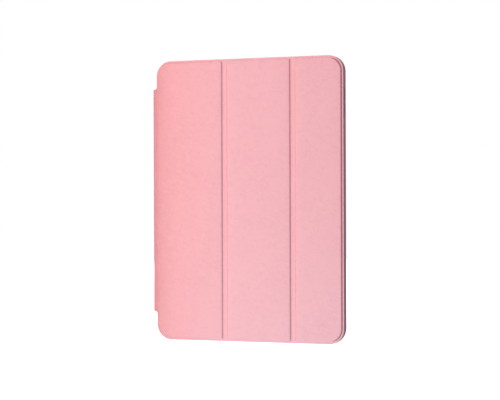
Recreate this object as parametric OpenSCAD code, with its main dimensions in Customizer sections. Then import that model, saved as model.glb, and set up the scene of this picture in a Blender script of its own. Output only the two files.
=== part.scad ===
// Folding leather case for a tablet, closed and standing upright on its bottom edge.
// The screen side faces -Y, the spine is on the -X side and +Z is up.
// Every piece is drawn lying on its back, with z counted from the back face, and stood up at the end.

/* [Tablet] */
// Width of the tablet that the case holds
tablet_w = 174.1; // [160:0.1:190]
// Height of the tablet
tablet_h = 250.6; // [235:0.1:270]
// Thickness of the tablet
tablet_t = 7.5; // [7:0.1:9]
// Corner radius of the tablet
tablet_r = 11.8; // [10:0.1:16]
// Room left all round the tablet
tablet_fit = 0.3; // [0.2:0.05:0.5]

/* [Shell] */
// Wall thickness of the moulded shell
shell_t = 1.1; // [0.9:0.05:1.4]
// Thickness of the outer leather
leather_t = 0.7; // [0.5:0.05:0.9]
// Thickness of the lining inside the shell
floor_lining_t = 0.4; // [0.3:0.05:0.6]
// Radius of the rounded edge round the back
edge_r = 5; // [4:0.1:5.4]
// Reach of the retaining lip over the tablet
lip_w = 0.8; // [0.4:0.1:1]

/* [Cover] */
// Thickness of the lining inside the cover
lining_t = 0.5; // [0.4:0.05:0.7]
// Thickness of the stiff boards in the cover
board_t = 1.1; // [0.9:0.05:1.4]
// Gap between the closed cover and the shell's rim
cover_gap = 0.3; // [0.2:0.05:0.6]
// Flat rim left round the raised panels
rim_w = 1.4; // [1:0.1:3]
// Width of the leather's slope at a panel's edge
slope_w = 1.4; // [1:0.1:2]
// Flat width of the fold between two panels
fold_w = 3.8; // [3.4:0.1:6]
// Width of the middle panel
middle_w = 60.9; // [50:0.1:70]
// Width of the panel at the free edge
free_w = 43.8; // [35:0.1:55]
// Corner radius of a panel next to a fold
fold_corner_r = 2; // [1.6:0.1:4]

/* [Spine] */
// Height of the spine
spine_h = 203.4; // [150:0.1:215]
// How far the spine stands out past the cover's edge
spine_out = 3.5; // [3.2:0.1:5]
// Thickness of the board in the spine
spine_board_t = 1; // [0.8:0.05:1.2]
// Outer radius of the two leather folds along the spine
spine_fold_r = 2.6; // [2.2:0.1:3]
// Radius of the notch at each end of the spine
notch_r = 3.2; // [2:0.1:5]

/* [Keys and openings] */
// How far a key stands out of the leather
key_proud = 0.15; // [0.1:0.05:0.6]
// Length of a volume key
volume_len = 11; // [8:0.5:14]
// Height of the volume keys' midpoint above the case's middle
volume_up = 86; // [60:1:95]
// Distance between the two volume keys' centres
volume_pitch = 14; // [13:0.5:20]
// Length of the power key
power_len = 12; // [8:0.5:14]
// Width of the charging port's opening
port_w = 13; // [11:0.5:16]
// Radius of the camera window
camera_r = 5.75; // [4.5:0.25:8]
// Radius of the headphone opening
jack_r = 3.3; // [2.5:0.1:3.5]

/* [Hidden] */
$fn = 64;

leather_pink = [0.93, 0.68, 0.71];
edge_pink = [0.85, 0.55, 0.59];
lining_grey = [0.78, 0.66, 0.68];
shell_pink = [0.86, 0.62, 0.66];
board_grey = [0.55, 0.55, 0.57];
metal_grey = [0.72, 0.73, 0.75];

// Plan sizes, from the tablet outwards
cavity_w = tablet_w + 2 * tablet_fit;
cavity_h = tablet_h + 2 * tablet_fit;
cavity_r = tablet_r + tablet_fit;
shell_w = cavity_w + 2 * shell_t;
shell_h = cavity_h + 2 * shell_t;
shell_r = cavity_r + shell_t;
case_w = shell_w + 2 * leather_t;
case_h = shell_h + 2 * leather_t;
case_r = shell_r + leather_t;

// Heights above the back face
shell_z = leather_t;
floor_z = shell_z + shell_t;
bay_z = floor_z + floor_lining_t;
// Room over the tablet under the lip
tablet_room = 0.2;
rim_z = bay_z + tablet_t + tablet_room;
cover_z = rim_z + cover_gap;
board_z = cover_z + lining_t;
flat_z = board_z + leather_t;
front_z = board_z + board_t + leather_t;
fillet_z = edge_r;

// The lip's height at its edge and at the wall
lip_edge_t = 0.2;
lip_root_t = 0.8;

// Panel edges along x, where each panel's slope meets the flat leather
half_w = case_w / 2;
half_h = case_h / 2;
panel_3_end = half_w - rim_w;
panel_3_start = panel_3_end - free_w;
panel_2_end = panel_3_start - fold_w;
panel_2_start = panel_2_end - middle_w;
panel_1_end = panel_2_start - fold_w;
panel_1_start = rim_w - half_w;
panel_h = case_h - 2 * rim_w;
panel_r = case_r - rim_w;

// Spine layers along x, from the leather inwards
spine_x = -half_w - spine_out;
spine_board_x = spine_x + leather_t;
spine_lining_x = spine_board_x + spine_board_t;
fold_center_x = spine_x + spine_fold_r;
back_fold_z = spine_fold_r;
front_fold_z = flat_z - spine_fold_r;
fold_seam = 0.2;
spine_start_z = back_fold_z + fold_seam;
spine_end_z = front_fold_z - fold_seam;
fold_thick = leather_t + lining_t;
// Along the spine the back leather is cut away up to this height
spine_cut_z = 2;

// Clearances and cutting margins
seam = 0.05;
slack = 0.2;
cut = 1;

// Case stood up with its box centred
key_top_x = half_w + key_proud;
center_x = (key_top_x + spine_x) / 2;

// Keys: flange behind the wall, stem through it
key_width = 3.4;
flange_rim = 1;
flange_t = 0.45;
recess_t = 0.5;
key_round = 0.4;
key_lift = 0.3;
key_z = bay_z + tablet_t / 2 + key_lift;
power_x = 62;

// Openings in the shell's edge and back
port_t = 5.6;
speaker_w = 26;
speaker_t = 3;
speaker_x = 36;
jack_x = -70;
mic_r = 1;
mic_x = 0;
port_z = bay_z + tablet_t / 2;
// The leather and the lining are cut this much wider round an opening than the shell
skin_relief = 0.4;
lining_relief = 0.6;
// Length of a cutter through the case's edge
cutter_len = 12;
camera_x = 70.5;
camera_y = 110;
collar_w = 0.9;
collar_z = 0.15;

// Magnets and the steel plate
bar_w = 3;
bar_len = 14;
bar_t = 0.9;
bar_ys = [-84, -34, 34, 84];
bar_inset = 3.2;
sleep_size = [9, 4];
sleep_at = [78, 101];
plate_size = [8, 176];
plate_inset = 4.6;

// ---- shared shapes ----

// Stands a piece up, with the middle of the whole case over the origin
module upright() {
    translate([-center_x, front_z / 2, half_h]) rotate([90, 0, 0]) children();
}

// Outline from x0 to x1 with one corner radius on each side
module outline(x0, x1, h, r0, r1) {
    translate([x0 + r0, -h / 2]) square([x1 - x0 - r0 - r1, h]);
    if (r0 > 0) side_strip(x0 + r0, h, r0, -1);
    if (r1 > 0) side_strip(x1 - r1, h, r1, 1);
}

module side_strip(x, h, r, side) {
    translate([side < 0 ? x - r : x, r - h / 2]) square([r, h - 2 * r]);
    for (end = [-1, 1]) translate([x, end * (h / 2 - r)]) circle(r);
}

// Slot with round ends, long along x
module slot_shape(length, width) {
    square([length - width, width], center = true);
    for (end = [-1, 1]) translate([end * (length - width) / 2, 0]) circle(width / 2);
}

// Section of a tray that is filled from its middle out to radius r, rounded at the bottom edge
module tray_section(r, z0, z1, fillet) {
    difference() {
        translate([0, z0]) square([r, z1 - z0]);
        difference() {
            translate([r - fillet, z0 - cut]) square([fillet + cut, fillet + cut]);
            translate([r - fillet, z0 + fillet]) circle(fillet);
        }
    }
}

// Carries a section round the case: x runs outwards from the corner's centre
module round_the_case() {
    corner_x = half_w - case_r;
    corner_y = half_h - case_r;
    for (turn = [0, 1, 2, 3]) {
        sx = turn == 0 || turn == 3 ? 1 : -1;
        sy = turn < 2 ? 1 : -1;
        translate([sx * corner_x, sy * corner_y, 0])
            rotate([0, 0, 90 * turn]) rotate_extrude(angle = 90) children();
        run_x = turn % 2 == 0 ? corner_x : corner_y;
        run_y = turn % 2 == 0 ? corner_y : corner_x;
        rotate([0, 0, 90 * turn]) translate([run_x, run_y, 0])
            rotate([90, 0, 0]) linear_extrude(2 * run_y) children();
    }
}

// Flat plate that fills the middle between the corner centres
module middle_plate(z0, z1) {
    translate([case_r - half_w, case_r - half_h, z0])
        cube([case_w - 2 * case_r, case_h - 2 * case_r, z1 - z0]);
}

// Cutter through the bottom edge or the top edge at x
module edge_cutter(x, side) {
    translate([x, side * half_h, port_z]) rotate([90, 0, 0]) linear_extrude(cutter_len, center = true) children();
}

module port_cuts(grow) {
    edge_cutter(0, -1) slot_shape(port_w + 2 * grow, port_t + 2 * grow);
    for (side = [-1, 1])
        edge_cutter(side * speaker_x, -1) slot_shape(speaker_w + 2 * grow, speaker_t + 2 * grow);
    edge_cutter(jack_x, 1) circle(jack_r + grow);
    edge_cutter(mic_x, 1) circle(mic_r + grow);
}

// Places a key's shape, drawn with its length along x and pressed towards -z, on the right side
module on_right_side(y) {
    translate([cavity_w / 2, y, key_z]) rotate([0, 90, 0]) rotate([0, 0, 90]) children();
}

module on_top_side(x) {
    translate([x, cavity_h / 2, key_z]) rotate([-90, 0, 0]) children();
}

// Hole for a key: a recess for the flange and a slot for the stem
module key_hole(length) {
    translate([0, 0, -cut]) linear_extrude(cut + recess_t)
        slot_shape(length + 2 * (flange_rim + slack), key_width + 2 * (flange_rim + slack));
    linear_extrude(shell_t + leather_t + cut) slot_shape(length + 2 * slack, key_width + 2 * slack);
}

module key_body(length) {
    stem_top = shell_t + leather_t + key_proud;
    linear_extrude(flange_t) slot_shape(length + 2 * flange_rim, key_width + 2 * flange_rim);
    linear_extrude(stem_top - key_round) slot_shape(length, key_width);
    translate([0, 0, stem_top - key_round - seam])
        linear_extrude(key_round + seam) slot_shape(length - key_round, key_width - key_round);
}

module key_cuts() {
    for (end = [-1, 1]) on_right_side(volume_up + end * volume_pitch / 2) key_hole(volume_len);
    on_top_side(power_x) key_hole(power_len);
}

// ---- shell ----

module back_shell() {
    color(shell_pink) upright() difference() {
        union() {
            round_the_case() shell_section();
            middle_plate(shell_z, floor_z);
            translate([camera_x, camera_y, collar_z]) cylinder(h = floor_z - collar_z, r = camera_r + collar_w);
        }
        translate([camera_x, camera_y, -cut]) cylinder(h = floor_z + 2 * cut, r = camera_r);
        port_cuts(0);
        key_cuts();
    }
}

module shell_section() {
    difference() {
        tray_section(shell_r, shell_z, rim_z, edge_r - leather_t);
        tray_section(cavity_r, floor_z, rim_z + cut, edge_r - leather_t - shell_t);
    }
    polygon([
        [cavity_r, rim_z], [cavity_r - lip_w, rim_z],
        [cavity_r - lip_w, rim_z - lip_edge_t], [cavity_r, rim_z - lip_root_t]
    ]);
}

module back_skin() {
    color(leather_pink) upright() difference() {
        union() {
            round_the_case() difference() {
                tray_section(case_r, 0, rim_z, edge_r);
                tray_section(shell_r, shell_z, rim_z + cut, edge_r - leather_t);
            }
            middle_plate(0, shell_z);
        }
        translate([camera_x, camera_y, -cut]) cylinder(h = 2 * cut + shell_z, r = camera_r + collar_w + seam);
        port_cuts(skin_relief);
        key_cuts();
        // the leather leaves the shell here and runs on into the spine
        translate([-half_w - cut, -spine_h / 2 - notch_r, -cut])
            cube([edge_r + cut, spine_h + 2 * notch_r, spine_cut_z + cut]);
    }
}

module back_lining() {
    inner_fillet = edge_r - leather_t - shell_t;
    color(lining_grey) upright() difference() {
        translate([0, 0, floor_z]) linear_extrude(floor_lining_t)
            outline(
                inner_fillet - cavity_w / 2, cavity_w / 2 - inner_fillet,
                cavity_h - 2 * inner_fillet, cavity_r - inner_fillet, cavity_r - inner_fillet
            );
        translate([camera_x, camera_y, floor_z - cut])
            cylinder(h = 2 * cut + floor_lining_t, r = camera_r + lining_relief);
    }
}

// ---- keys ----

module volume_key(end) {
    color(edge_pink) upright() on_right_side(volume_up + end * volume_pitch / 2) key_body(volume_len);
}

module volume_up_key() {
    volume_key(1);
}

module volume_down_key() {
    volume_key(-1);
}

module power_key() {
    color(edge_pink) upright() on_top_side(power_x) key_body(power_len);
}

// ---- spine ----

module spine_layer(x, thick, z0, z1) {
    upright() translate([x, -spine_h / 2, z0]) cube([thick, spine_h, z1 - z0]);
}

module spine_skin() {
    color(leather_pink) spine_layer(spine_x, leather_t, spine_start_z, spine_end_z);
}

module spine_board() {
    color(board_grey) spine_layer(spine_board_x, spine_board_t, spine_start_z + slack, spine_end_z - slack);
}

module spine_lining() {
    color(lining_grey) spine_layer(spine_lining_x, lining_t, spine_start_z, spine_end_z);
}

// Quarter tube along the spine, with a flat tongue that runs to x_end, between two radii
module spine_fold(center_z, side, outer, inner, x_end) {
    length = spine_h + 2 * notch_r;
    difference() {
        translate([0, length / 2, 0]) rotate([90, 0, 0]) linear_extrude(length) {
            difference() {
                translate([fold_center_x, center_z]) circle(outer);
                translate([fold_center_x, center_z]) circle(inner);
                translate([fold_center_x, center_z - outer - cut]) square([outer + cut, 2 * (outer + cut)]);
                translate([spine_x - cut, side > 0 ? center_z - outer - cut : center_z])
                    square([outer + 2 * cut, outer + cut]);
            }
            translate([fold_center_x, side > 0 ? center_z + inner : center_z - outer])
                square([x_end - fold_center_x, outer - inner]);
        }
        for (end = [-1, 1]) {
            notch_y = end * (spine_h / 2 + notch_r);
            translate([-half_w - notch_r, notch_y, -cut]) cylinder(h = front_z + 2 * cut, r = notch_r);
            translate([-half_w - notch_r - outer, end > 0 ? spine_h / 2 : -spine_h / 2 - notch_r - cut, -cut])
                cube([outer, notch_r + cut, front_z + 2 * cut]);
        }
    }
}

module spine_front_fold() {
    color(leather_pink) upright()
        spine_fold(front_fold_z, 1, spine_fold_r, spine_fold_r - leather_t, -half_w - seam);
}

module spine_front_lining() {
    color(lining_grey) upright()
        spine_fold(front_fold_z, 1, spine_fold_r - leather_t, spine_fold_r - fold_thick, -half_w - seam);
}

module spine_back_fold() {
    color(leather_pink) upright()
        spine_fold(back_fold_z, -1, spine_fold_r, spine_fold_r - leather_t, edge_r - half_w);
}

module spine_back_lining() {
    color(lining_grey) upright()
        spine_fold(back_fold_z, -1, spine_fold_r - leather_t, spine_fold_r - fold_thick, -half_w);
}

// ---- cover ----

// One panel: where its sloped edges start and end, and whether each side is a fold or the outside
function panel_start(n) = [panel_1_start, panel_2_start, panel_3_start][n - 1];
function panel_end(n) = [panel_1_end, panel_2_end, panel_3_end][n - 1];
function start_is_outside(n) = n == 1;
function end_is_outside(n) = n == 3;

// Flat sheet under a panel, out to the case's outline
module panel_sheet(n, z0, z1, inset = 0) {
    x0 = start_is_outside(n) ? -half_w : panel_start(n);
    x1 = end_is_outside(n) ? half_w : panel_end(n);
    translate([0, 0, z0]) linear_extrude(z1 - z0)
        outline(
            x0 + (start_is_outside(n) ? inset : 0), x1 - (end_is_outside(n) ? inset : 0),
            case_h - 2 * inset,
            start_is_outside(n) ? case_r - inset : 0, end_is_outside(n) ? case_r - inset : 0
        );
}

// Raised panel's outline, drawn in by inset
module panel_outline(n, inset) {
    outline(
        panel_start(n) + inset, panel_end(n) - inset, panel_h - 2 * inset,
        start_is_outside(n) ? panel_r - inset : max(fold_corner_r - inset, 0.5),
        end_is_outside(n) ? panel_r - inset : max(fold_corner_r - inset, 0.5)
    );
}

module cover_skin(n) {
    color(leather_pink) upright() difference() {
        union() {
            panel_sheet(n, board_z, flat_z);
            hull() {
                translate([0, 0, board_z]) linear_extrude(leather_t) panel_outline(n, 0, $fn = 32);
                translate([0, 0, front_z - seam]) linear_extrude(seam) panel_outline(n, slope_w, $fn = 32);
            }
        }
        translate([0, 0, board_z - cut]) linear_extrude(cut + board_t) panel_outline(n, slope_w);
    }
}

module panel_board(n) {
    color(board_grey) upright() difference() {
        translate([0, 0, board_z]) linear_extrude(board_t - seam) panel_outline(n, slope_w + seam);
        if (n == 1) metal_pocket(slack) plate_shape();
        if (n == 3) {
            metal_pocket(slack) bar_shapes();
            metal_pocket(slack) sleep_shape();
        }
    }
}

module cover_lining(n) {
    color(lining_grey) upright() panel_sheet(n, cover_z, board_z);
}

module metal_pocket(grow) {
    translate([0, 0, board_z - cut]) linear_extrude(cut + bar_t + seam) offset_rects(grow) children();
}

// Grows rectangles by grow in each direction
module offset_rects(grow) {
    for (dx = [-grow / 2, grow / 2], dy = [-grow / 2, grow / 2]) translate([dx, dy]) children();
}

module plate_shape() {
    translate([panel_1_start + slope_w + plate_inset, 0]) square(plate_size, center = true);
}

module bar_shapes() {
    for (y = bar_ys) translate([panel_3_end - slope_w - bar_inset, y]) square([bar_w, bar_len], center = true);
}

module sleep_shape() {
    translate(sleep_at) square(sleep_size, center = true);
}

module metal_in_board() {
    color(metal_grey) upright() translate([0, 0, board_z]) linear_extrude(bar_t) children();
}

module stand_plate() {
    metal_in_board() plate_shape();
}

module closing_magnets() {
    metal_in_board() bar_shapes();
}

module sleep_magnet() {
    metal_in_board() sleep_shape();
}

// Strip across the fold after panel n
module fold_strip(n, z0, z1) {
    upright() translate([panel_end(n), -half_h, z0]) cube([fold_w - seam, case_h, z1 - z0]);
}

module fold_skin(n) {
    color(leather_pink) fold_strip(n, board_z, flat_z);
}

module fold_lining(n) {
    color(lining_grey) fold_strip(n, cover_z, board_z);
}

// ---- nodes ----

back_shell();
back_skin();
back_lining();
volume_up_key();
volume_down_key();
power_key();
spine_skin();
spine_board();
spine_lining();
spine_back_fold();
spine_back_lining();
spine_front_fold();
spine_front_lining();
cover_skin(1);  // cover_skin_1
panel_board(1);  // panel_board_1
cover_lining(1);  // cover_lining_1
stand_plate();
fold_skin(1);  // fold_skin_1
fold_lining(1);  // fold_lining_1
cover_skin(2);  // cover_skin_2
panel_board(2);  // panel_board_2
cover_lining(2);  // cover_lining_2
fold_skin(2);  // fold_skin_2
fold_lining(2);  // fold_lining_2
cover_skin(3);  // cover_skin_3
panel_board(3);  // panel_board_3
cover_lining(3);  // cover_lining_3
closing_magnets();
sleep_magnet();
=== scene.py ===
import math

import bmesh
import bpy
from mathutils import Matrix, Vector
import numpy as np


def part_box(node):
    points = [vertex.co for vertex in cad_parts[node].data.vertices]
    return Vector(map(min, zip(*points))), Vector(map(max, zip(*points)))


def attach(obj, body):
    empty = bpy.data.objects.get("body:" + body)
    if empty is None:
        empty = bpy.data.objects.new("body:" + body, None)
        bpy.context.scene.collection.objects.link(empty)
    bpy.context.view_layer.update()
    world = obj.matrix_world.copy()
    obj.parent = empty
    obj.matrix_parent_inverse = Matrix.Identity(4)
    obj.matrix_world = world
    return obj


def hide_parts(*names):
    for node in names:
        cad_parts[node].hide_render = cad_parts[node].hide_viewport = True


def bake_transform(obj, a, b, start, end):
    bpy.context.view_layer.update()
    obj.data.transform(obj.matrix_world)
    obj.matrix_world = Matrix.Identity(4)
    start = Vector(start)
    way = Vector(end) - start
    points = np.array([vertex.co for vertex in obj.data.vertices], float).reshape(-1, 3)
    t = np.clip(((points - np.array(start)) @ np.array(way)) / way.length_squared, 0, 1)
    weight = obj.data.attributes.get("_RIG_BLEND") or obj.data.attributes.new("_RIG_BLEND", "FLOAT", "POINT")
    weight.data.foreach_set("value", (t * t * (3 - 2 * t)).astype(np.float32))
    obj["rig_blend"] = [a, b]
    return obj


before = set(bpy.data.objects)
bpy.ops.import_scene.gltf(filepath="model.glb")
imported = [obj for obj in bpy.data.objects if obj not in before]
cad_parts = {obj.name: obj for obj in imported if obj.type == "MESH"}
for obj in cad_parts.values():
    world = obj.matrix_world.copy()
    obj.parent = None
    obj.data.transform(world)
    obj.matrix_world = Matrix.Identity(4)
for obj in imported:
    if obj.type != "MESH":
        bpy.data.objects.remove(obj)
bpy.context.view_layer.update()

bl_info = {
    "name": "Folding Tablet Case",
    "version": (1, 0, 0),
    "blender": (4, 5, 0),
    "location": "View3D > Sidebar > Tablet Case",
    "description": "Models and finishes a leather folio case for a tablet around its packed frame",
    "category": "Add Mesh",
}

MM = 0.001
PANELS = (1, 2, 3)
# painted light and shade along the left and right slopes of each panel: how far each slope takes the stronger
# slope colour, and above 0.6 painted shade that darkens it, strongest in the groove at panel 3's right
SIDE_SLOPE_SHADES = {1: (0.5, 0.3), 2: (0.65, 0.45), 3: (0.65, 1.0)}
ARC_STEPS = 14
PAD_STEPS = 8
SPINE_ARC_STEPS = 12
SPINE_PLATE_STEPS = 8
STRIP_ROWS = 40
# part of a quarter circle that is left out at the foot of a pad's slope
SLOPE_START = math.radians(35)
# depth that the pads reach into the flat leather below them
PAD_SUNK = 0.05 * MM
# how far the lining stays back from the leather's edge, and the rounding of its own edge
LINING_INSET = 0.35 * MM
LINING_ROUND = 0.15 * MM
# margin round the lining's pad and the width of its slope
LINING_MARGIN = 2.6 * MM
LINING_SLOPE = 0.6 * MM
# reach, strength and power of the tint and the darkening that grow towards the spine on panel 1: painted
# shade
SPINE_SHADE_TINT = (80 * MM, 0.55, 1.2)
SPINE_SHADE_DARKENING = (30 * MM, 0.6, 3)


# ---- sizes and colours that a user may change ----


class CaseSizes(bpy.types.PropertyGroup):
    """Sizes of the soft work that the frame's boxes don't give"""

    case_corner: bpy.props.FloatProperty(
        name="Case corner", description="Radius of the case's four corners",
        default=13.9 * MM, min=6 * MM, max=20 * MM, unit="LENGTH",
    )
    fold_corner: bpy.props.FloatProperty(
        name="Fold corner", description="Radius of a panel's corners next to a fold",
        default=2.0 * MM, min=1.6 * MM, max=4 * MM, unit="LENGTH",
    )
    slope: bpy.props.FloatProperty(
        name="Slope", description="Width of the leather's slope round a raised panel",
        default=1.4 * MM, min=1 * MM, max=2 * MM, unit="LENGTH",
    )
    crown: bpy.props.FloatProperty(
        name="Crown", description="How far a raised panel dips from its middle to its edges",
        default=0.12 * MM, min=0, max=0.3 * MM, unit="LENGTH",
    )
    edge_round: bpy.props.FloatProperty(
        name="Edge rounding", description="Rounding along the cut edge of the leather",
        default=0.25 * MM, min=0.05 * MM, max=0.34 * MM, unit="LENGTH",
    )
    fold_sink: bpy.props.FloatProperty(
        name="Fold sink", description="How deep the creased leather sinks between two panels",
        default=0.06 * MM, min=0, max=0.3 * MM, unit="LENGTH",
    )
    spine_fold: bpy.props.FloatProperty(
        name="Spine fold", description="Outer radius of the two folds along the spine",
        default=2.6 * MM, min=2 * MM, max=3 * MM, unit="LENGTH",
    )
    notch: bpy.props.FloatProperty(
        name="Notch", description="Radius of the notch at each end of the spine",
        default=2.2 * MM, min=1.5 * MM, max=5 * MM, unit="LENGTH",
    )
    spine_swell: bpy.props.FloatProperty(
        name="Spine swell", description="How far the soft leather of the spine's front fold stands out",
        default=0.7 * MM, min=0, max=1 * MM, unit="LENGTH",
    )
    lining_pad: bpy.props.FloatProperty(
        name="Lining pad", description="How far the lining stands proud over a board",
        default=0.12 * MM, min=0, max=0.2 * MM, unit="LENGTH",
    )


class CaseFinish(bpy.types.PropertyGroup):
    """Colours and grain of the case's materials"""

    leather: bpy.props.FloatVectorProperty(
        name="Leather", description="Colour of the leather's flat areas",
        default=(0.87, 0.37, 0.395), subtype="COLOR", min=0, max=1,
    )
    # the darker colour of the random mottling, and also the painted shade on the spine's leather and towards
    # it
    leather_shade_and_mottle: bpy.props.FloatVectorProperty(
        name="Leather, worn", description="Darker colour of the spine's leather and of the mottling",
        default=(0.64, 0.212, 0.228), subtype="COLOR", min=0, max=1,
    )
    # the slope colour: painted light and shade on the pads' slopes, plus a faint real crease tint on the
    # folds
    leather_slope_shade: bpy.props.FloatVectorProperty(
        name="Leather, bent", description="Stronger colour of the leather where it is stretched over an edge",
        default=(0.85, 0.27, 0.275), subtype="COLOR", min=0, max=1,
    )
    lining: bpy.props.FloatVectorProperty(
        name="Lining", description="Colour of the microfibre lining",
        default=(0.52, 0.33, 0.36), subtype="COLOR", min=0, max=1,
    )
    plastic: bpy.props.FloatVectorProperty(
        name="Shell", description="Colour of the moulded shell",
        default=(0.66, 0.32, 0.36), subtype="COLOR", min=0, max=1,
    )
    grain_size: bpy.props.FloatProperty(
        name="Grain size", description="Width of one pebble of the leather's grain",
        default=0.8 * MM, min=0.3 * MM, max=3 * MM, unit="LENGTH",
    )
    grain_depth: bpy.props.FloatProperty(
        name="Grain depth", description="Depth of the valleys between the pebbles",
        default=0.09 * MM, min=0, max=0.3 * MM, unit="LENGTH",
    )


class CaseStage(bpy.types.PropertyGroup):
    """Camera and light"""

    azimuth: bpy.props.FloatProperty(
        name="Azimuth", description="Camera's angle to the right of straight in front",
        default=math.radians(19.86), subtype="ANGLE",
    )
    elevation: bpy.props.FloatProperty(
        name="Elevation", description="Camera's angle above level",
        default=math.radians(-0.08), subtype="ANGLE",
    )
    roll: bpy.props.FloatProperty(
        name="Roll", description="Camera's turn about its own axis",
        default=math.radians(-0.19), subtype="ANGLE",
    )
    distance: bpy.props.FloatProperty(
        name="Distance", description="Camera's distance from the front of the case",
        default=1.298, min=0.5, max=4, unit="LENGTH",
    )
    lens: bpy.props.FloatProperty(
        name="Lens", description="Focal length in millimetres", default=104.16, min=20, max=300,
    )
    key: bpy.props.FloatProperty(
        name="Key light", description="Power of the main light in watts", default=22.4, min=0, max=200,
    )
    fill: bpy.props.FloatProperty(
        name="Surround", description="Strength of the even light from all round", default=0.27, min=0, max=2,
    )


# ---- shader maths ----


class Value:
    """One shader output; arithmetic on it adds Math nodes"""

    def __init__(self, shader, socket):
        self.shader = shader
        self.socket = socket

    def _math(self, operation, first, second, clamp=False):
        settings = {"operation": operation, "use_clamp": clamp}
        return self.shader.add("ShaderNodeMath", settings, {0: first, 1: second})

    def __add__(self, other):
        return self._math("ADD", self, other)

    def __sub__(self, other):
        return self._math("SUBTRACT", self, other)

    def __mul__(self, other):
        return self._math("MULTIPLY", self, other)

    __radd__ = __add__
    __rmul__ = __mul__

    def held(self):
        """The same value kept between 0 and 1"""
        return self._math("ADD", self, 0.0, clamp=True)


class Shader:
    """A material or world with an empty node tree"""

    def __init__(self, owner):
        owner.use_nodes = True
        self.tree = owner.node_tree
        self.tree.nodes.clear()

    def add(self, kind, settings=None, inputs=None, output=0):
        """Adds a node with its settings and inputs; gives one output, or the node if it has none"""
        node = self.tree.nodes.new(kind)
        for key, setting in (settings or {}).items():
            setattr(node, key, setting)
        for key, value in (inputs or {}).items():
            if isinstance(value, Value):
                self.tree.links.new(value.socket, node.inputs[key])
            else:
                node.inputs[key].default_value = value
        return Value(self, node.outputs[output]) if node.outputs else node

    def blend(self, factor, first, second):
        """Colour between first and second"""
        pick = {6: first if isinstance(first, Value) else (*first, 1.0)}
        pick[7] = second if isinstance(second, Value) else (*second, 1.0)
        return self.add("ShaderNodeMix", {"data_type": "RGBA"}, {0: factor, **pick}, output=2)

    def place(self, turn=0.0, stretch=1.0):
        """Object coordinates in metres; a pattern on them is stretched upwards and then turned about Y"""
        here = self.add("ShaderNodeTexCoord", output=3)
        inputs = {"Vector": here, "Rotation": (0, turn, 0), "Scale": (1, 1, stretch)}
        return self.add("ShaderNodeMapping", {"vector_type": "TEXTURE"}, inputs)

    def noise(self, place, size, detail=3.0, roughness=0.5):
        """Noise from 0 to 1 with patches about size metres wide"""
        settings = {"noise_dimensions": "3D"}
        inputs = {"Vector": place, "Scale": 1 / size, "Detail": detail, "Roughness": roughness}
        return self.add("ShaderNodeTexNoise", settings, inputs)

    def pebbles(self, place, size):
        """Rounded cells about size metres wide"""
        inputs = {"Vector": place, "Scale": 1 / size, "Smoothness": 0.35}
        return self.add("ShaderNodeTexVoronoi", {"feature": "SMOOTH_F1"}, inputs)

    def bump(self, height, depth):
        """Normal of a surface whose height from 0 to 1 spans depth metres"""
        return self.add("ShaderNodeBump", {}, {"Height": height, "Distance": depth, "Strength": 1.0})

    def surface(self, **sockets):
        """Ends the material in a Principled surface with these sockets"""
        named = {}
        for key, value in sockets.items():
            named[key.replace("_", " ").title().replace("Ior", "IOR")] = value
        bsdf = self.add("ShaderNodeBsdfPrincipled", {}, named)
        self.add("ShaderNodeOutputMaterial", {}, {0: bsdf})


# ---- materials ----


def leather_material(name, finish, wear=0.0):
    """Pebbled leather, stronger in colour and darker where crease_and_shade is high: painted light and shade
    on the pads' slopes and towards the spine, and a faint real crease on the folds; the wear argument darkens
    all of it
    """
    shader = Shader(bpy.data.materials.new(name))
    here = shader.place()
    slanted = shader.place(turn=math.radians(105), stretch=3.5)
    crease_and_shade = shader.add("ShaderNodeAttribute", {"attribute_name": "crease_and_shade"}, output=2)
    # spine_shade: painted shade, darker towards the spine on panel 1
    spine_shade = shader.add("ShaderNodeAttribute", {"attribute_name": "spine_shade"}, output=2)
    clouds = shader.noise(here, 0.045, detail=2.0)
    mottle = shader.noise(here, 0.0024, detail=3.0, roughness=0.6)
    wrinkles = shader.noise(slanted, 0.0022, detail=4.0, roughness=0.65)
    pebble = shader.pebbles(here, finish.grain_size)
    pores = shader.noise(here, finish.grain_size * 0.35, detail=2.0)
    patches = (clouds - 0.5) * 0.25 + (mottle - 0.5) * 0.4 + (wrinkles - 0.5) * 0.45
    # random mottling, plus painted shade from spine_shade, from crease_and_shade above 0.6 and from wear
    depth = patches + spine_shade + (crease_and_shade - 0.6).held() * 2.0 + (wear + 0.03)
    # painted light and shade: crease_and_shade tints the slopes towards the slope colour
    stretched = shader.blend(crease_and_shade, finish.leather, finish.leather_slope_shade)
    colour = shader.blend(depth.held(), stretched, finish.leather_shade_and_mottle)
    relief = pebble * 0.7 + pores * 0.3 + wrinkles * 0.9
    shader.surface(
        base_color=colour,
        roughness=(0.52 + (mottle - 0.5) * 0.2).held(),
        normal=shader.bump(relief, finish.grain_depth),
        specular_ior_level=0.35,
    )
    return bpy.data.materials[name]


def microfibre_material(name, finish):
    """Short brushed nap with a soft sheen"""
    shader = Shader(bpy.data.materials.new(name))
    here = shader.place()
    brushed = shader.place(turn=math.radians(12), stretch=3.3)
    nap = shader.noise(here, 0.0006, detail=3.0, roughness=0.7)
    strokes = shader.noise(brushed, 0.012, detail=3.0)
    tone = ((nap - 0.5) * 0.5 + (strokes - 0.5) * 0.5 + 0.5).held()
    dark = tuple(c * 0.78 for c in finish.lining)
    light = tuple(min(1.0, c * 1.18) for c in finish.lining)
    shader.surface(
        base_color=shader.blend(tone, dark, light),
        roughness=0.92,
        normal=shader.bump(nap, 0.06 * MM),
        sheen_weight=0.35,
        sheen_roughness=0.4,
        specular_ior_level=0.2,
    )
    return bpy.data.materials[name]


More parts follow.
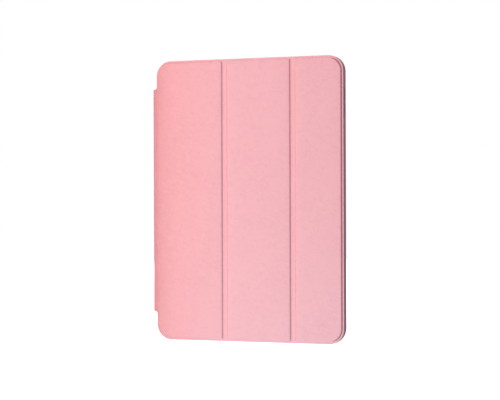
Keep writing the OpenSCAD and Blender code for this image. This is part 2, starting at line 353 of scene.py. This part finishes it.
def plastic_material(name, colour, roughness=0.48):
    """Moulded plastic with a fine spark-eroded texture"""
    shader = Shader(bpy.data.materials.new(name))
    here = shader.place()
    spark = shader.noise(here, 0.00035, detail=2.0)
    drift = shader.noise(here, 0.03, detail=2.0)
    tone = ((drift - 0.5) * 0.5 + 0.5).held()
    dark = tuple(c * 0.95 for c in colour)
    light = tuple(min(1.0, c * 1.05) for c in colour)
    shader.surface(
        base_color=shader.blend(tone, dark, light),
        roughness=(roughness + (spark - 0.5) * 0.15).held(),
        normal=shader.bump(spark, 0.015 * MM),
    )
    return bpy.data.materials[name]


def metal_material(name, colour, roughness=0.32):
    """Plated or rolled steel with fine lengthwise scratches"""
    shader = Shader(bpy.data.materials.new(name))
    drawn = shader.place(stretch=33)
    lines = shader.noise(drawn, 0.0003, detail=2.0)
    shader.surface(
        base_color=shader.blend(lines, tuple(c * 0.85 for c in colour), colour),
        roughness=(roughness + (lines - 0.5) * 0.2).held(),
        metallic=1.0,
        normal=shader.bump(lines, 0.004 * MM),
    )
    return bpy.data.materials[name]


def material(name, make, *args, **more):
    """The material of that name, made the first time that it is asked for"""
    return bpy.data.materials.get(name) or make(name, *args, **more)


def leather(context):
    return material("pink_pebbled_leather", leather_material, context.scene.case_finish)


def deep_leather(context):
    # painted shade: the spine's leather, also used for the keys, is darkened all over
    return material("pink_spine_leather", leather_material, context.scene.case_finish, wear=0.83)


def microfibre(context):
    return material("brushed_microfibre", microfibre_material, context.scene.case_finish)


def shell_plastic(context):
    return material("moulded_shell_plastic", plastic_material, tuple(context.scene.case_finish.plastic))


# ---- modelling helpers ----


def rounded_plate(low, high, y, left_radius, right_radius):
    """A bmesh with one flat face that looks towards -Y, from low to high in x and z, with rounded corners"""
    bm = bmesh.new()
    size = (high[0] - low[0], high[1] - low[1])
    spot = Matrix.Translation(((low[0] + high[0]) / 2, y, (low[1] + high[1]) / 2))
    turned = spot @ Matrix.Rotation(math.pi / 2, 4, "X") @ Matrix.Diagonal((*size, 1, 1))
    corners = bmesh.ops.create_grid(bm, x_segments=1, y_segments=1, size=0.5, matrix=turned)["verts"]
    middle = (low[0] + high[0]) / 2
    left = [v for v in corners if v.co.x < middle]
    right = [v for v in corners if v.co.x > middle]
    for some, radius in ((left, left_radius), (right, right_radius)):
        bmesh.ops.bevel(
            bm, geom=some, offset=radius, segments=ARC_STEPS, profile=0.5, affect="VERTICES", material=-1
        )
    mark_crease_and_shade(bm, bm.verts, 0)
    return bm


def thicken(bm, y):
    """Extrudes a bmesh's flat face to the plane y, closed on both sides; gives the first outline's edges"""
    outline = bm.edges[:]
    made = bmesh.ops.extrude_face_region(bm, geom=bm.faces[:], use_keep_orig=True)
    moved = [g for g in made["geom"] if isinstance(g, bmesh.types.BMVert)]
    bmesh.ops.translate(bm, verts=moved, vec=(0, y - moved[0].co.y, 0))
    bmesh.ops.recalc_face_normals(bm, faces=bm.faces)
    return outline


def join(bm, other):
    """Puts other's geometry into bm and frees other"""
    mesh = bpy.data.meshes.new("joined")
    other.to_mesh(mesh)
    other.free()
    bm.from_mesh(mesh)
    bpy.data.meshes.remove(mesh)


def cut_off(bm, x, keep_right):
    """Cuts the mesh at the plane x, keeps one side and closes the cut"""
    everything = bm.verts[:] + bm.edges[:] + bm.faces[:]
    bmesh.ops.bisect_plane(
        bm, geom=everything, dist=1e-7, plane_co=(x, 0, 0), plane_no=(1, 0, 0),
        clear_inner=keep_right, clear_outer=not keep_right,
    )
    bmesh.ops.holes_fill(bm, edges=[e for e in bm.edges if e.is_boundary], sides=0)


def cut_lines(bm, geom, axis, places):
    """Adds edge lines where planes across an axis meet the given geometry"""
    normal = [0, 0, 0]
    normal[axis] = 1
    for place in places:
        point = [0, 0, 0]
        point[axis] = place
        made = bmesh.ops.bisect_plane(bm, geom=geom, dist=1e-7, plane_co=point, plane_no=normal)
        geom = list(dict.fromkeys([*made["geom"], *made["geom_cut"]]))
    return geom


def spread(low, high, count):
    """Evenly spaced places between low and high, without the ends"""
    return [low + (high - low) * i / (count + 1) for i in range(1, count + 1)]


def mark_crease_and_shade(bm, verts, amount):
    """Sets the crease_and_shade attribute of some vertices: a faint real crease tint on the folds, painted
    light and shade on the pads' slopes
    """
    layer = bm.verts.layers.float.get("crease_and_shade") or bm.verts.layers.float.new("crease_and_shade")
    for v in verts:
        v[layer] = amount


def finish_piece(name, bm, surface, smooth=math.radians(40)):
    """Turns a bmesh into a linked object with a material and smooth shading"""
    bmesh.ops.recalc_face_normals(bm, faces=bm.faces)
    mesh = bpy.data.meshes.new(name)
    bm.to_mesh(mesh)
    bm.free()
    mesh.polygons.foreach_set("use_smooth", [True] * len(mesh.polygons))
    mesh.set_sharp_from_angle(angle=smooth)
    mesh.materials.append(surface)
    piece = bpy.data.objects.new(name, mesh)
    bpy.context.scene.collection.objects.link(piece)
    return piece


def settle_modifiers(piece):
    """Puts what the modifiers make into the piece's own mesh"""
    graph = bpy.context.evaluated_depsgraph_get()
    done = bpy.data.meshes.new_from_object(piece.evaluated_get(graph))
    piece.modifiers.clear()
    piece.data = done


def node_copy(node):
    """A merged bmesh copy of a frame node, flat areas joined into whole faces"""
    bm = bmesh.new()
    bm.from_mesh(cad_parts[node].data)
    bmesh.ops.remove_doubles(bm, verts=bm.verts, dist=1e-6)
    bmesh.ops.dissolve_limit(bm, angle_limit=math.radians(0.4), verts=bm.verts, edges=bm.edges)
    return bm


# ---- places taken from the frame ----


class Layout:
    """Where the case's layers and panels lie, in metres"""

    def __init__(self, sizes):
        skins = {n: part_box(f"cover_skin_{n}") for n in PANELS}
        boards = {n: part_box(f"panel_board_{n}") for n in PANELS}
        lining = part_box("cover_lining_1")
        self.left, self.right = skins[1][0].x, skins[3][1].x
        self.bottom, self.top = skins[1][0].z, skins[1][1].z
        self.front = skins[1][0].y
        self.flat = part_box("fold_skin_1")[0].y
        self.lining_front = lining[0].y
        self.lining_back = lining[1].y
        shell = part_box("back_skin")
        self.back = shell[1].y
        seam = 0.05 * MM
        self.base = {
            n: (boards[n][0].x - sizes.slope - seam, boards[n][1].x + sizes.slope + seam) for n in PANELS
        }
        self.rim_width = self.right - self.base[3][1]
        self.base_low = self.bottom + self.rim_width
        self.base_high = self.top - self.rim_width
        # the cover's flat layers are cut at these places
        self.cuts = (
            (self.left - 1, self.base[1][1]), (self.base[1][1], self.base[2][0]),
            self.base[2], (self.base[2][1], self.base[3][0]), (self.base[3][0], self.right + 1),
        )
        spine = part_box("spine_skin")
        self.spine_out = spine[0].x
        self.spine_low, self.spine_high = spine[0].z, spine[1].z
        self.spine_front, self.spine_back = spine[0].y, spine[1].y
        self.leather = self.lining_front - self.flat


# ---- cover ----


def cover_layer(place, sizes, front, back, inset, rounding, piece_index):
    """One slice of the cover's flat leather or lining, from front to back in y"""
    low = (place.left + inset, place.bottom + inset)
    high = (place.right - inset, place.top - inset)
    radius = sizes.case_corner - inset
    bm = rounded_plate(low, high, front, radius, radius)
    edges = thicken(bm, back)
    bmesh.ops.bevel(
        bm, geom=edges, offset=rounding, segments=3, profile=0.5, affect="EDGES", material=-1
    )
    x0, x1 = place.cuts[piece_index]
    if x0 > place.left:
        cut_off(bm, x0, keep_right=True)
    if x1 < place.right:
        cut_off(bm, x1, keep_right=False)
    return bm


def raised_pad(low, high, y, left_radius, right_radius, slope, height, crown, slope_shades):
    """A closed pad that rises towards the front along a soft round, with painted light and shade along its
    left and right slopes
    """
    bm = rounded_plate(low, high, y, left_radius, right_radius)
    face = bm.faces[:][0]
    run, rise = 0.0, 0.0
    start = SLOPE_START
    for i in range(1, PAD_STEPS + 1):
        angle = start + (math.pi / 2 - start) * i / PAD_STEPS
        next_run = slope * (math.cos(start) - math.cos(angle)) / math.cos(start)
        next_rise = height * (math.sin(angle) - math.sin(start)) / (1 - math.sin(start))
        bmesh.ops.inset_region(
            bm, faces=[face], thickness=next_run - run, depth=next_rise - rise,
            use_boundary=True, use_even_offset=True,
        )
        run, rise = next_run, next_rise
    top = set(face.verts)
    for v in bm.verts:
        ends = min(v.co.z - low[1], high[1] - v.co.z) < slope
        # painted light and shade on the slopes: each side's value comes from slope_shades, and the top and
        # the ends get none
        side = slope_shades[0] if v.co.x < (low[0] + high[0]) / 2 else slope_shades[1]
        mark_crease_and_shade(bm, [v], 0.0 if v in top or ends else side)
    bmesh.ops.holes_fill(bm, edges=[e for e in bm.edges if e.is_boundary], sides=0)
    crown_face(bm, face, crown)
    return bm


def crown_face(bm, face, crown):
    """Cuts a pad's flat top into a grid and lifts its middle a little"""
    xs, zs = [v.co.x for v in face.verts], [v.co.z for v in face.verts]
    x0, x1, z0, z1 = min(xs), max(xs), min(zs), max(zs)
    rim = set(face.verts)
    geom = [face, *face.edges, *face.verts]
    geom = cut_lines(bm, geom, 0, spread(x0, x1, 9))
    geom = cut_lines(bm, geom, 2, spread(z0, z1, 29))
    for v in {g for g in geom if isinstance(g, bmesh.types.BMVert)} - rim:
        u = (2 * v.co.x - x0 - x1) / (x1 - x0)
        w = (2 * v.co.z - z0 - z1) / (z1 - z0)
        if abs(u) < 0.999 and abs(w) < 0.999:
            v.co.y -= crown * (1 - u ** 4) * (1 - w ** 8)


def raise_towards(bm, attribute, x, reach, amount, power):
    """Raises an attribute smoothly up to amount at the plane x, from reach metres to its right"""
    layer = bm.verts.layers.float.get(attribute) or bm.verts.layers.float.new(attribute)
    for v in bm.verts:
        near = 1 - min(max((v.co.x - x) / reach, 0), 1)
        v[layer] = max(v[layer], amount * near ** power)


def build_cover_leather(context):
    """The three raised panels, each with its share of the flat leather"""
    sizes = context.scene.case_sizes
    place = Layout(sizes)
    for n in PANELS:
        bm = cover_layer(place, sizes, place.flat, place.lining_front, 0, sizes.edge_round, 2 * n - 2)
        outer = sizes.case_corner - place.rim_width
        x0, x1 = place.base[n]
        pad = raised_pad(
            (x0, place.base_low), (x1, place.base_high), place.flat + PAD_SUNK,
            outer if n == 1 else sizes.fold_corner, outer if n == 3 else sizes.fold_corner,
            sizes.slope, place.flat - place.front + PAD_SUNK - sizes.crown, sizes.crown, SIDE_SLOPE_SHADES[n],
        )
        if n == 1:
            geom = bm.verts[:] + bm.edges[:] + bm.faces[:]
            cut_lines(bm, geom, 0, spread(place.left, x1, 7))
        join(bm, pad)
        # painted shade on panel 1: a tint and a darkening that grow towards the spine
        if n == 1:
            raise_towards(bm, "crease_and_shade", place.left, *SPINE_SHADE_TINT)
            raise_towards(bm, "spine_shade", place.left, *SPINE_SHADE_DARKENING)
        piece = finish_piece(f"cover_leather_{n}", bm, leather(context))
        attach(piece, f"cover_{n}")
        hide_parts(f"cover_skin_{n}")


def build_cover_lining(context):
    """The microfibre on the inside of the three panels, slightly padded over each board"""
    sizes = context.scene.case_sizes
    place = Layout(sizes)
    for n in PANELS:
        bm = cover_layer(
            place, sizes, place.lining_back, place.lining_front, LINING_INSET, LINING_ROUND, 2 * n - 2
        )
        inner = max((f for f in bm.faces if f.normal.y > 0.9), key=lambda f: f.calc_area())
        for width, height in ((LINING_MARGIN, 0.0), (LINING_SLOPE, sizes.lining_pad)):
            bmesh.ops.inset_region(
                bm, faces=[inner], thickness=width, depth=height, use_boundary=True, use_even_offset=True
            )
        piece = finish_piece(f"cover_microfibre_{n}", bm, microfibre(context))
        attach(piece, f"cover_{n}")
        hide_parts(f"cover_lining_{n}")


def build_folds(context):
    """Leather and lining across the two folds between panels; they bend with the joints"""
    sizes = context.scene.case_sizes
    place = Layout(sizes)
    for n in (1, 2):
        x0, x1 = place.cuts[2 * n - 1]
        layers = (
            ("fold_leather", place.flat, place.lining_front, 0, sizes.edge_round, "fold_skin", leather),
            (
                "fold_microfibre", place.lining_back, place.lining_front, LINING_INSET, LINING_ROUND,
                "fold_lining", microfibre,
            ),
        )
        for title, front, back, inset, rounding, node, surface in layers:
            bm = cover_layer(place, sizes, front, back, inset, rounding, 2 * n - 1)
            geom = cut_lines(bm, bm.verts[:] + bm.edges[:] + bm.faces[:], 0, spread(x0, x1, 23))
            cut_lines(bm, geom, 2, spread(place.bottom + 1 * MM, place.top - 1 * MM, 48))
            if title == "fold_leather":
                sink_crease(bm, x0, x1, place.flat, sizes.fold_sink)
            piece = finish_piece(f"{title}_{n}", bm, surface(context))
            y = (front + back) / 2
            middle = (place.bottom + place.top) / 2
            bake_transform(piece, f"cover_{n}", f"cover_{n + 1}", start=(x0, y, middle), end=(x1, y, middle))
            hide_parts(f"{node}_{n}")


def sink_crease(bm, x0, x1, front, depth):
    """Sinks the strip's outer face towards its middle and marks where it is creased"""
    layer = bm.verts.layers.float["crease_and_shade"]
    for v in bm.verts:
        across = (v.co.x - x0) / (x1 - x0)
        bowl = math.sin(math.pi * min(max(across, 0.0), 1.0))
        v[layer] = 0.1 * bowl
        if abs(v.co.y - front) < 0.02 * MM:
            v.co.y += depth * bowl ** 2


# ---- spine ----


def spine_arcs(place, sizes, sink):
    """The spine's two quarter arcs in x and y, sink metres inside the leather's face: front, then back"""
    radius = sizes.spine_fold - sink
    centre_x = place.spine_out + sizes.spine_fold
    front_centre = place.flat + sizes.spine_fold
    back_centre = place.back - sizes.spine_fold
    quarter = [math.pi / 2 * i / SPINE_ARC_STEPS for i in range(SPINE_ARC_STEPS + 1)]
    front = []
    for angle in quarter:
        swell = sizes.spine_swell * math.sin(angle) ** 2 if sink == 0 else 0
        front.append((centre_x - radius * math.sin(angle) - swell, front_centre - radius * math.cos(angle)))
    back = [(centre_x - radius * math.cos(a), back_centre + radius * math.sin(a)) for a in quarter]
    return front, back


def strip_mesh(points, low, high, flare):
    """A strip along z that follows points in x and y; flare(i) widens it at both ends beside point i"""
    bm = bmesh.new()
    made = bmesh.ops.create_grid(bm, x_segments=len(points) - 1, y_segments=STRIP_ROWS, size=0.5)
    for v in made["verts"]:
        i = round((v.co.x + 0.5) * (len(points) - 1))
        along = v.co.y + 0.5
        extra = flare(i)
        v.co = Vector((points[i][0], points[i][1], low - extra + (high - low + 2 * extra) * along))
    return bm


def notch_flare(place, sizes, points):
    """Widening of the strip near the cover's edge, where the notch's arc runs into it"""
    def flare(i):
        past = place.left - points[i][0]
        if past <= 0:
            return sizes.notch
        short = max(0.0, sizes.notch - past)
        return sizes.notch - math.sqrt(max(0.0, sizes.notch ** 2 - short ** 2))
    return flare


def solid_strip(name, points, place, flare, thickness, surface):
    """A strip given its thickness on the inner side and rounded along its edges"""
    bm = strip_mesh(points, place.spine_low, place.spine_high, flare)
    mark_crease_and_shade(bm, bm.verts, 0.1)
    bmesh.ops.recalc_face_normals(bm, faces=bm.faces)
    if sum(face.normal.x for face in bm.faces) > 0:
        bmesh.ops.reverse_faces(bm, faces=bm.faces)
    mesh = bpy.data.meshes.new(name)
    bm.to_mesh(mesh)
    bm.free()
    piece = bpy.data.objects.new(name, mesh)
    bpy.context.scene.collection.objects.link(piece)
    mesh.polygons.foreach_set("use_smooth", [True] * len(mesh.polygons))
    mesh.materials.append(surface)
    wall = piece.modifiers.new("thickness", "SOLIDIFY")
    wall.thickness = thickness
    wall.offset = -1
    wall.use_even_offset = True
    edge = piece.modifiers.new("edge", "BEVEL")
    edge.width = thickness * 0.3
    edge.segments = 2
    edge.limit_method = "ANGLE"
    edge.angle_limit = math.radians(50)
    settle_modifiers(piece)
    piece.data.set_sharp_from_angle(angle=math.radians(50))
    return piece


def build_spine(context):
    """Leather and lining of the spine; the strips along its two folds bend with the joints"""
    sizes = context.scene.case_sizes
    place = Layout(sizes)
    front_arc, back_arc = spine_arcs(place, sizes, 0)
    back_end = (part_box("spine_back_fold")[1].x, place.back)
    flat_plate = line_points(
        (place.spine_out, place.spine_front), (place.spine_out, place.spine_back), SPINE_PLATE_STEPS
    )
    plate = []
    for i, (x, y) in enumerate(flat_plate):
        fade = math.cos(math.pi / 2 * i / SPINE_PLATE_STEPS) ** 2
        plate.append((x - sizes.spine_swell * fade, y))
    seam = (place.left + 0.1 * MM, place.flat + 0.02 * MM)
    layers = {
        "leather": (
            [*line_points(seam, front_arc[0], 8)[:-1], *front_arc, plate[0]],
            plate,
            [plate[-1], *back_arc, *line_points(back_arc[-1], back_end, 6)[1:]],
            place.leather, deep_leather(context), ("spine_front_fold", "spine_skin", "spine_back_fold"),
        )
    }
    inner_front, inner_back = spine_arcs(place, sizes, place.leather)
    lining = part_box("spine_lining")
    inside = [(lining[0].x, lining[0].y), (lining[0].x, lining[1].y)]
    layers["microfibre"] = (
        [*line_points((place.left, inner_front[0][1]), inner_front[0], 5)[:-1], *inner_front[:9], inside[0]],
        line_points(*inside, SPINE_PLATE_STEPS),
        [inside[1], *inner_back[4:], *line_points(inner_back[-1], (place.left, inner_back[-1][1]), 5)[1:]],
        lining[1].x - lining[0].x, microfibre(context),
        ("spine_front_lining", "spine_lining", "spine_back_lining"),
    )
    z = (place.spine_low + place.spine_high) / 2
    for title, (front, middle, back, thickness, surface, nodes) in layers.items():
        slot = "outer_leather" if title == "leather" else "microfibre"
        flare = notch_flare(place, sizes, front)
        piece = solid_strip(f"spine_front_{title}", front, place, flare, thickness, surface)
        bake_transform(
            piece, "spine", "cover_1",
            start=(place.spine_out, front_arc[-1][1], z), end=(front_arc[0][0], front_arc[0][1], z),
        )
        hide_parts(nodes[0])
        piece = solid_strip(f"spine_{title}", middle, place, lambda i: 0.0, thickness, surface)
        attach(piece, "spine")
        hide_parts(nodes[1])
        flare = notch_flare(place, sizes, back)
        piece = solid_strip(f"spine_back_{title}", back, place, flare, thickness, surface)
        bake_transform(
            piece, "shell", "spine",
            start=(back_arc[-1][0], back_arc[-1][1], z), end=(place.spine_out, back_arc[0][1], z),
        )
        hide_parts(nodes[2])


def line_points(start, end, count):
    """Points from start to end in count equal steps"""
    return [
        (start[0] + (end[0] - start[0]) * i / count, start[1] + (end[1] - start[1]) * i / count)
        for i in range(count + 1)
    ]


# ---- shell and inside ----


def soften_node(node, name, surface, body, width):
    """A copy of a frame node with its hard edges rounded, shown in the node's place"""
    bm = node_copy(node)
    mark_crease_and_shade(bm, bm.verts, 0)
    piece = finish_piece(name, bm, surface, smooth=math.radians(35))
    edge = piece.modifiers.new("edge", "BEVEL")
    edge.width = width
    edge.segments = 3
    edge.limit_method = "ANGLE"
    edge.angle_limit = math.radians(40)
    edge.miter_outer = "MITER_ARC"
    normals = piece.modifiers.new("normals", "WEIGHTED_NORMAL")
    normals.keep_sharp = True
    settle_modifiers(piece)
    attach(piece, body)
    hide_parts(node)
    return piece


def build_shell(context):
    """The leather round the shell, the shell itself with its lining, and the keys"""
    soften_node("back_skin", "back_leather", leather(context), "shell", 0.15 * MM)
    soften_node("back_shell", "shell_moulding", shell_plastic(context), "shell", 0.12 * MM)
    for key in ("volume_up", "volume_down", "power"):
        soften_node(f"{key}_key", f"{key}_button", deep_leather(context), key, 0.25 * MM)
    piece = soften_node(
        "back_lining", "shell_microfibre", microfibre(context), "shell", 0.1 * MM
    )


def finish_node(node, surface):
    """Gives a frame node that is shown as it is its material"""
    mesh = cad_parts[node].data
    mesh.materials.clear()
    mesh.materials.append(surface)


def finish_hidden_parts(context):
    """Boards, magnets and the steel strip, sealed inside the cover and spine"""
    board = material("grey_fibreboard", plastic_material, (0.30, 0.30, 0.32), roughness=0.8)
    steel = material("rolled_steel", metal_material, (0.55, 0.56, 0.58))
    nickel = material("nickel_plating", metal_material, (0.66, 0.65, 0.62), roughness=0.22)
    for node in ("panel_board_1", "panel_board_2", "panel_board_3", "spine_board"):
        finish_node(node, board)
    finish_node("stand_plate", steel)
    for node in ("closing_magnets", "sleep_magnet"):
        finish_node(node, nickel)


# ---- stage ----


def aimed(spot, target):
    """Turn that points -Z from spot to target"""
    return (Vector(target) - Vector(spot)).to_track_quat("-Z", "Y").to_matrix().to_4x4()


def add_light(name, azimuth, elevation, distance, size, power, target, colour=(1, 1, 1)):
    """A soft square light at that angle from the target, in degrees to the right of front and above level"""
    a, e = math.radians(azimuth), math.radians(elevation)
    away = Vector((math.sin(a) * math.cos(e), -math.cos(a) * math.cos(e), math.sin(e)))
    spot = Vector(target) + away * distance
    data = bpy.data.lights.new(name, "AREA")
    data.shape = "SQUARE"
    data.size = size
    data.energy = power
    data.color = colour
    light = bpy.data.objects.new(name, data)
    light.matrix_world = Matrix.Translation(spot) @ aimed(spot, target)
    bpy.context.scene.collection.objects.link(light)
    return light


def build_stage(context):
    """Camera, world, lights and floor"""
    look = context.scene.case_stage
    sizes = context.scene.case_sizes
    place = Layout(sizes)
    scene = context.scene
    scene.view_settings.view_transform = "Standard"
    target = Vector(((place.left + place.right) / 2 + 2.04 * MM, place.front, (place.bottom + place.top) / 2))
    away = Vector((
        math.sin(look.azimuth) * math.cos(look.elevation),
        -math.cos(look.azimuth) * math.cos(look.elevation),
        math.sin(look.elevation),
    ))
    spot = target + away * look.distance
    data = bpy.data.cameras.new("camera")
    data.lens = look.lens
    data.sensor_width = 36
    camera = bpy.data.objects.new("camera", data)
    camera.matrix_world = Matrix.Translation(spot) @ aimed(spot, target) @ Matrix.Rotation(look.roll, 4, "Z")
    scene.collection.objects.link(camera)
    scene.camera = camera

    world = bpy.data.worlds.new("studio")
    scene.world = world
    shader = Shader(world)
    seen = shader.add("ShaderNodeLightPath", output=0)
    dim = shader.add("ShaderNodeBackground", {}, {0: (0.93, 0.97, 1.2, 1), 1: look.fill})
    white = shader.add("ShaderNodeBackground", {}, {0: (1, 1, 1, 1), 1: 1.0})
    both = shader.add("ShaderNodeMixShader", {}, {0: seen, 1: dim, 2: white})
    shader.add("ShaderNodeOutputWorld", {}, {0: both})

    middle = Vector((0, 0, place.top / 2))
    warm = (1.0, 0.9, 0.82)
    cool = (0.15, 0.9, 1.0)
    pale = (0.8, 0.97, 1.0)
    add_light("key", -34, 3, distance=1.6, size=0.7, power=look.key, target=middle, colour=warm)
    low_right = Vector((0.095, 0, -0.02))
    high_right = Vector((0.07, 0, 0.26))
    fills = (("low_fill", -38, 0.05, low_right), ("high_fill", 38, 0.012, high_right))
    for name, elevation, share, corner in fills:
        fill = add_light(
            name, 0, elevation, distance=0.45, size=0.25, power=look.key * share, target=corner, colour=cool
        )
        fill.visible_camera = False
    for name, elevation, end in (("floor_bounce", -80, place.bottom), ("ceiling_bounce", 80, place.top)):
        bounce = add_light(
            name, -40, elevation, distance=0.45, size=0.4, power=look.key * 0.04,
            target=Vector((0, 0, end)), colour=pale,
        )
        bounce.visible_camera = False
    add_light("behind", -150, 15, distance=1.7, size=0.9, power=look.key * 0.6, target=middle)

    bm = bmesh.new()
    bmesh.ops.create_grid(bm, x_segments=1, y_segments=1, size=4)
    bmesh.ops.translate(bm, verts=bm.verts, vec=(0, 0, place.bottom - 0.1 * MM))
    floor = finish_piece("floor", bm, floor_material())
    floor.visible_diffuse = False
    floor.visible_glossy = False
    floor.visible_shadow = False


def floor_material():
    """Pale matt floor, lit from inside so that it stays white"""
    shader = Shader(bpy.data.materials.new("pale_floor"))
    glow = shader.add("ShaderNodeEmission", {}, {0: (1, 1, 1, 1), 1: 0.8})
    matt = shader.add("ShaderNodeBsdfDiffuse", {}, {0: (0.95, 0.95, 0.95, 1)})
    both = shader.add("ShaderNodeAddShader", {}, {0: glow, 1: matt})
    shader.add("ShaderNodeOutputMaterial", {}, {0: both})
    return bpy.data.materials["pale_floor"]


# ---- operators and panel ----


class TABLETCASE_OT_cover_leather(bpy.types.Operator):
    """Build the raised leather panels of the cover"""

    bl_idname = "tabletcase.cover_leather"
    bl_label = "Cover Leather"

    def execute(self, context):
        build_cover_leather(context)
        return {"FINISHED"}


class TABLETCASE_OT_cover_lining(bpy.types.Operator):
    """Build the microfibre on the inside of the cover"""

    bl_idname = "tabletcase.cover_lining"
    bl_label = "Cover Lining"

    def execute(self, context):
        build_cover_lining(context)
        return {"FINISHED"}


class TABLETCASE_OT_folds(bpy.types.Operator):
    """Build the leather and lining across the folds between panels"""

    bl_idname = "tabletcase.folds"
    bl_label = "Folds"

    def execute(self, context):
        build_folds(context)
        return {"FINISHED"}


class TABLETCASE_OT_spine(bpy.types.Operator):
    """Build the leather and lining of the spine and its two folds"""

    bl_idname = "tabletcase.spine"
    bl_label = "Spine"

    def execute(self, context):
        build_spine(context)
        return {"FINISHED"}


class TABLETCASE_OT_shell(bpy.types.Operator):
    """Build the shell with its leather and lining, and the keys"""

    bl_idname = "tabletcase.shell"
    bl_label = "Shell"

    def execute(self, context):
        build_shell(context)
        return {"FINISHED"}


class TABLETCASE_OT_hidden_parts(bpy.types.Operator):
    """Finish the boards, magnets and steel strip inside the cover"""

    bl_idname = "tabletcase.hidden_parts"
    bl_label = "Hidden Parts"

    def execute(self, context):
        finish_hidden_parts(context)
        return {"FINISHED"}


class TABLETCASE_OT_stage(bpy.types.Operator):
    """Set up the camera, lights and floor"""

    bl_idname = "tabletcase.stage"
    bl_label = "Stage"

    def execute(self, context):
        build_stage(context)
        return {"FINISHED"}


OPERATORS = (
    TABLETCASE_OT_cover_leather,
    TABLETCASE_OT_cover_lining,
    TABLETCASE_OT_folds,
    TABLETCASE_OT_spine,
    TABLETCASE_OT_shell,
    TABLETCASE_OT_hidden_parts,
    TABLETCASE_OT_stage,
)


class TABLETCASE_PT_sidebar(bpy.types.Panel):
    """Lists the case's pieces and settings"""

    bl_idname = "TABLETCASE_PT_sidebar"
    bl_label = "Tablet Case"
    bl_space_type = "VIEW_3D"
    bl_region_type = "UI"
    bl_category = "Tablet Case"

    def draw(self, context):
        for step in OPERATORS:
            self.layout.operator(step.bl_idname)
        for group in ("case_sizes", "case_finish", "case_stage"):
            box = self.layout.box()
            settings = getattr(context.scene, group)
            for key in settings.bl_rna.properties.keys():
                if key not in ("rna_type", "name"):
                    box.prop(settings, key)


GROUPS = {"case_sizes": CaseSizes, "case_finish": CaseFinish, "case_stage": CaseStage}


def register():
    for cls in (*GROUPS.values(), *OPERATORS, TABLETCASE_PT_sidebar):
        bpy.utils.register_class(cls)
    for key, group in GROUPS.items():
        setattr(bpy.types.Scene, key, bpy.props.PointerProperty(type=group))


def unregister():
    for key in GROUPS:
        delattr(bpy.types.Scene, key)
    for cls in reversed((*GROUPS.values(), *OPERATORS, TABLETCASE_PT_sidebar)):
        bpy.utils.unregister_class(cls)


def main():
    register()
    bpy.ops.tabletcase.cover_leather()
    bpy.ops.tabletcase.cover_lining()
    bpy.ops.tabletcase.folds()
    bpy.ops.tabletcase.spine()
    bpy.ops.tabletcase.shell()
    bpy.ops.tabletcase.hidden_parts()
    bpy.ops.tabletcase.stage()


if __name__ == "__main__":
    main()
